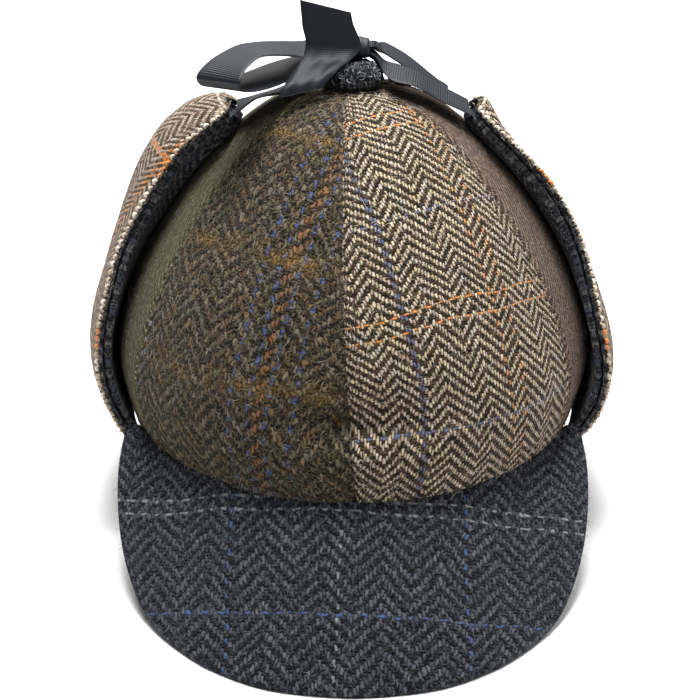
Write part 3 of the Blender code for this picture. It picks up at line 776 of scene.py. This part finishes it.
for side_name, hand, material, slot in (("left", -1, pink_beige_herringbone, "pink_beige_herringbone"),
                                        ("right", 1, beige_herringbone, "beige_herringbone")):
    over, normal = flap_layer("flap_" + side_name, hand, OUTER_START, FLAP_CLOTH, 0.0,
                              (material, dark_facing), "ear_flap_" + side_name)
    edge_floats("edge_floats_" + side_name, over, normal, hand, 50 + hand)
    fuzz("fuzz_flap_" + side_name, over, normal, 1500, FLAP_HAIR, cream_hair, 60 + hand)
    over, normal = flap_layer("facing_" + side_name, hand, 0.0, FACING_CLOTH, FACING_INSET,
                              (dark_facing,), "ear_flap_facing_" + side_name)
    edge = slice(0, 3) if hand > 0 else slice(-3, None)
    fuzz("fuzz_facing_" + side_name, over[:, edge], normal[:, edge], 400, FACING_HAIR, grey_hair,
         70 + hand)

# Button: a disc covered in charcoal looped wool, gathered underneath and sewn to the crown's top where
# the six gores meet.
BUTTON_DIAMETER = 0.023
BUTTON_HEIGHT = 0.0095
BUTTON_RIM = 0.0036
charcoal_wool = tweed(
    "charcoal_wool", ((0.03, 0.033, 0.037), (0.05, 0.055, 0.06)),
    ((0.006, 0.007, 0.009), (0.012, 0.013, 0.015)), (8, 8), [], 0.0010)
centre = crown(0.0, 90.0)
turn = np.linspace(0, 2 * np.pi, 97)[None, :-1]
level = np.linspace(0.02, 1, 40)[:, None]
dome = np.sqrt(np.maximum(1 - level ** 2.6, 0))
radius = BUTTON_DIAMETER / 2
ripple = 1 + 0.02 * np.sin(7 * turn + 1) * level ** 3 + 0.015 * np.sin(11 * turn) * level ** 3
top_x = radius * level * np.cos(turn) * ripple
top_y = radius * level * np.sin(turn) * ripple
top_z = BUTTON_RIM + (BUTTON_HEIGHT - BUTTON_RIM) * dome + 0.0003 * wave(top_x, top_y, 0.01, 3)
low_z = 0.0006 + 0.003 * level ** 8 - 0.0012 * level ** 2
over = centre + np.stack([top_x, top_y, top_z], -1)
under = centre + np.stack([top_x, top_y, np.broadcast_to(low_z, top_x.shape)], -1)
over, under = over[::-1], under[::-1]
flat = np.stack([top_x, top_y], -1)[::-1]
put(shell("button_cover", over, under, flat, closed=True), charcoal_wool, "top_button")

# Loops of the button's wool: short arcs of yarn that stand on its surface
LOOP_COUNT = 520
LOOP_ROWS = 28
LOOP_RADIUS = 0.00019
loop_yarn = plain("loop_yarn", ((0.045, 0.05, 0.056), (0.13, 0.14, 0.15), (0.02, 0.022, 0.027),
                                (0.24, 0.25, 0.26), (0.03, 0.033, 0.04), (0.08, 0.087, 0.095)))
pick = np.random.default_rng(8)
row, column = pick.integers(0, LOOP_ROWS, LOOP_COUNT), pick.integers(0, over.shape[1], LOOP_COUNT)
seat = over[row, column]
off = unit(seat - centre - [0, 0, 0.001])
first = unit(np.cross(off, pick.normal(size=(LOOP_COUNT, 3))))
second = np.cross(off, first)
bow = pick.uniform(0.0006, 0.0012, (LOOP_COUNT, 1))
path = []
for angle in np.linspace(-0.4, math.pi + 0.6, 8):
    raised = (second * 0.55 + off * 0.75) * bow * math.sin(angle)
    path.append(seat + first * bow * math.cos(angle) + raised)
loops = strands("button_loops", np.stack(path, 1), np.full((LOOP_COUNT, 8), LOOP_RADIUS), off,
                pick.uniform(0, 1, (LOOP_COUNT, 2)))
put(loops, loop_yarn)

# Ribbon: 22 mm black grosgrain, from each flap's tip to the bow on the button. Its cross ribs are real
# ridges about a millimetre apart.
RIBBON_WIDTH = 0.022
RIBBON_THICKNESS = 0.0007
RIB = 0.0010
RIB_HEIGHT = 0.00013
SELVEDGE = 0.0008
GATHER_FOLD = 0.0012
RIBBON_BLACK = (0.0075, 0.0095, 0.0135)
STEPS_PER_RIB = 6
SMOOTHING = 25
# The knot's middle lies this far behind the crown's top and above the button
KNOT_BACK = 0.006
KNOT_RISE = 0.0043
KNOT = crown(0.0, 90.0) + [0, KNOT_BACK, BUTTON_HEIGHT + KNOT_RISE]
# Stations: right, back and up from the knot in ribbon widths, turn and tilt in degrees, width share
BOW_LOOP_LEFT = ((-0.34, 0.10, 0.10, 0, 0, 0.42), (-0.55, 0.18, 0.02, 1, -1, 0.8),
                 (-0.86, 0.12, -0.06, 3, -2, 1), (-1.19, -0.35, 0.06, 10, -1, 1),
                 (-1.53, -0.90, 0.19, 19, 0, 1), (-1.78, -1.40, 0.26, 26, 1, 1),
                 (-1.99, -1.90, 0.23, 34, 1, 1), (-2.14, -2.24, 0.14, 44, 2, 1),
                 (-2.21, -2.38, 0.02, 50, 4, 1), (-2.16, -2.28, -0.11, 46, 6, 1),
                 (-1.94, -1.86, -0.21, 36, 3, 1), (-1.62, -1.15, -0.29, 27, -2, 1),
                 (-1.25, -0.36, -0.34, 17, -5, 1), (-0.86, 0.04, -0.32, 8, -5, 1),
                 (-0.55, 0.18, -0.20, 3, -3, 0.8), (-0.34, 0.08, -0.04, 0, 0, 0.42))
BOW_LOOP_RIGHT = ((0.37, 0.12, 0.00, 0, 0, 0.42), (0.46, 0.50, -0.13, 2, 0, 0.6),
                  (0.62, 0.78, -0.24, 2, -1, 0.9), (0.91, 0.82, -0.42, 1, -1, 1),
                  (1.17, 0.76, -0.61, -1, -1, 1), (1.40, 0.74, -0.80, -1, -1, 1),
                  (1.60, 0.72, -0.95, -2, -1, 1), (1.70, 0.70, -0.99, -3, 0, 1),
                  (1.73, 0.70, -1.05, -3, 0, 1), (1.66, 0.70, -1.05, -3, 0, 1),
                  (1.45, 0.72, -0.92, -2, 0, 1), (1.18, 0.75, -0.78, -1, 0, 1),
                  (0.88, 0.78, -0.73, 0, 0, 1), (0.62, 0.80, -0.66, 0, 0, 1))
BOW_TAIL = ((-0.47, -0.40, 0.81, 90, -14, 0.9), (-0.44, -0.40, 0.59, 90, -11, 0.91),
            (-0.39, -0.40, 0.37, 90, -6, 0.95), (-0.33, -0.40, 0.16, 90, -4, 0.96),
            (-0.45, -0.54, -0.07, 90, 0, 0.85), (-0.65, -0.80, -0.21, 90, 5, 0.8),
            (-0.81, -1.06, -0.38, 104, 6, 0.8), (-0.89, -1.13, -0.52, 104, 9, 0.8))
TIE_RIGHT = ((0.36, 0.0, -0.13, 0, 0, 0.42), (0.56, -0.12, -0.34, -2, -2, 0.8),
             (0.76, -0.30, -0.38, -4, -3, 1), (1.09, -0.36, -0.47, -4, 0, 1),
             (1.48, -0.36, -0.70, -3, 0, 1), (1.75, -0.35, -0.84, -2, 0, 1),
             (2.03, -0.34, -0.98, 0, 0, 1))
TIE_LEFT = ((-0.34, 0.08, -0.14, 0, 0, 0.42), (-0.60, 0.12, -0.43, 0, 2, 0.8),
            (-0.92, -0.05, -0.61, 2, 6, 1), (-1.30, -0.25, -0.72, 3, 10, 1),
            (-1.65, -0.31, -0.79, 2, 12, 1), (-1.88, -0.33, -0.90, 1, 6, 1),
            (-2.03, -0.34, -0.98, 0, 0, 1))

grosgrain, tree, shader = new_material("grosgrain", 0.48, 0.22)
uv = node(tree, "ShaderNodeUVMap", uv_map="cloth").outputs[0]
thread_at = node(tree, "ShaderNodeMapping", {0: uv, 3: (4200.0, 900.0, 1.0)}).outputs[0]
speck = noise(tree, thread_at, 1.0, 2.0, 0.6)
tone = spread(tree, speck, 0.3, 0.7, 0.7, 1.3)
shades = {k: calc(tree, "MULTIPLY", tone, black) for k, black in enumerate(RIBBON_BLACK)}
tint = node(tree, "ShaderNodeCombineColor", shades).outputs[0]
tree.links.new(tint, shader.inputs["Base Color"])
bump = node(tree, "ShaderNodeBump", {"Strength": 0.6, "Distance": 0.00006, "Height": speck})
tree.links.new(bump.outputs[0], shader.inputs["Normal"])


def ribbon(name, stations, ribs=1.0, start=None):
    """A strip of ribbon through its stations: a smooth middle line with a width laid across it, cosine
    ribs over its length and a plain selvedge along both sides. `start` runs it on into the knot, and
    `ribs` scales how high its ribs stand."""
    table = np.array(stations, float)
    if start is not None:
        table = np.concatenate([[start], table])
    run = run_along(table[:, :3])
    rows = [(at, *row) for at, row in zip(run, table)]
    steps = max(40, int(run[-1] * RIBBON_WIDTH / RIB * STEPS_PER_RIB))
    places = np.linspace(0, run[-1], steps)
    right, back, up, turn, tilt, gather = (smooth(rows, column, places) for column in range(1, 7))
    middle = KNOT + RIBBON_WIDTH * np.stack([right, back, up], -1)
    turn, tilt = np.radians(turn), np.radians(tilt)
    width = np.stack([np.cos(tilt) * np.sin(turn), -np.cos(tilt) * np.cos(turn), np.sin(tilt)], -1)
    soft = np.ones(SMOOTHING) / SMOOTHING
    for grid in (middle, width):
        for k in range(3):
            padded = np.pad(grid[:, k], SMOOTHING // 2, "reflect", reflect_type="odd")
            grid[:, k] = np.convolve(padded, soft, "valid")
    width = unit(width)
    face = unit(np.cross(np.gradient(middle, axis=0), width))
    length = run_along(middle)
    across = np.sin(np.linspace(-np.pi / 2, np.pi / 2, 17)) * 0.5
    from_side = (0.5 - np.abs(across)) * RIBBON_WIDTH
    rib = 0.5 + 0.5 * np.cos(2 * np.pi * length / RIB)[:, None]
    rib = ribs * rib * np.clip(from_side / SELVEDGE - 0.3, 0, 1)[None]
    fold = (1 - gather)[:, None] * GATHER_FOLD * np.cos(6 * np.pi * across)[None]
    thick = RIBBON_THICKNESS / 2 * np.clip(from_side / 0.0003, 0.25, 1)[None]
    flat = middle[:, None] + width[:, None] * (across[None] * gather[:, None] * RIBBON_WIDTH)[..., None]
    over = flat + face[:, None] * (thick + RIB_HEIGHT * rib + fold)[..., None]
    under = flat - face[:, None] * (thick + RIB_HEIGHT * rib - fold)[..., None]
    spots = np.stack(np.broadcast_arrays((across * RIBBON_WIDTH)[None], length[:, None]), -1)
    piece = put(shell(name + "_ribbon", over, under, spots), grosgrain, name)


ribbon("bow_loop_left", BOW_LOOP_LEFT)
ribbon("bow_loop_right", BOW_LOOP_RIGHT, start=(0.12, 0.0, 0.02, 0, 0, 0.4))
ribbon("bow_tail", BOW_TAIL, ribs=0.25)
ribbon("tie_right", TIE_RIGHT, start=(0.12, 0.0, -0.03, 0, 0, 0.4))
ribbon("tie_left", TIE_LEFT, start=(-0.12, 0.0, -0.03, 0, 0, 0.4))

# Knot: a band of the same black ribbon, wrapped once round the strips that cross in it. It holds the
# bow on the button.
KNOT_SIZE = np.array([0.013, 0.016, 0.008]) / 2
turn = np.linspace(0, 2 * np.pi, 121)[None, :-1]
along = np.linspace(-1, 1, 40)[:, None]
belly = np.sqrt(np.maximum(1 - np.abs(along) ** 3, 0)) * 0.35 + 0.65
crease = 1 + 0.05 * np.sin(3 * turn + 2 * along) + 0.03 * np.cos(9 * np.pi * along / 2)
ring = np.stack([np.broadcast_to(along * KNOT_SIZE[0], crease.shape),
                 KNOT_SIZE[1] * belly * crease * np.cos(turn),
                 KNOT_SIZE[2] * belly * crease * np.sin(turn)], -1)
core = ring * [0.98, 0.5, 0.5]
spots = np.stack(np.broadcast_arrays(along * KNOT_SIZE[0], turn * KNOT_SIZE[1]), -1)
put(shell("knot_wrap", KNOT + ring, KNOT + core, spots, closed=True), grosgrain, "bow_knot")

# Floor, lights and camera: a plain pale floor, soft light from above and the front, and a lamp behind
# that keeps the floor white there.
FLOOR_HALF = 3.0
FLOOR_GAP = 0.0002
LIGHT_AIM = (0, 0, 0.1)
CAMERA_PLACE = (-0.0011, -0.70, 0.35646)
CAMERA_DOWN = math.radians(23.0087)
SENSOR = 36
FOCAL_SHARE = 1876.4 / 700
WORLD_STRENGTH = 0.2
square = np.array([[-1, -1], [1, -1], [1, 1], [-1, 1]]) * FLOOR_HALF
floor = polygons("floor", np.column_stack([square, np.full(4, -FLOOR_GAP)]), np.array([[0, 1, 2, 3]]))
pale, tree, shader = new_material("floor", 0.9, 0.2)
shader.inputs["Base Color"].default_value = (0.88, 0.88, 0.88, 1)
floor.data.materials.append(pale)

world = bpy.data.worlds.new("world")
world.use_nodes = True
world.node_tree.nodes["Background"].inputs["Color"].default_value = (1, 1, 1, 1)
world.node_tree.nodes["Background"].inputs["Strength"].default_value = WORLD_STRENGTH
bpy.context.scene.world = world
for name, place, aim, size, power in (("key", (-0.15, -0.28, 1.2), LIGHT_AIM, 0.45, 7),
                                      ("fill", (0.7, -0.2, 0.9), LIGHT_AIM, 0.6, 3.5),
                                      ("top", (0.0, 0.02, 1.2), LIGHT_AIM, 0.4, 16),
                                      ("behind", (0.0, 1.3, 1.5), (0, 1.0, 0), 1.5, 45)):
    data = bpy.data.lights.new(name, "AREA")
    data.size = size
    data.energy = power
    lamp = bpy.data.objects.new(name, data)
    lamp.location = place
    direction = Vector(aim) - Vector(place)
    lamp.rotation_euler = direction.to_track_quat("-Z", "Y").to_euler()
    bpy.context.scene.collection.objects.link(lamp)

bpy.context.scene.view_settings.view_transform = "Standard"
lens = bpy.data.cameras.new("camera")
lens.sensor_width = SENSOR
lens.lens = SENSOR * FOCAL_SHARE
camera = bpy.data.objects.new("camera", lens)
camera.location = CAMERA_PLACE
camera.rotation_euler = (math.pi / 2 - CAMERA_DOWN, 0, 0)
bpy.context.scene.collection.objects.link(camera)
bpy.context.scene.camera = camera
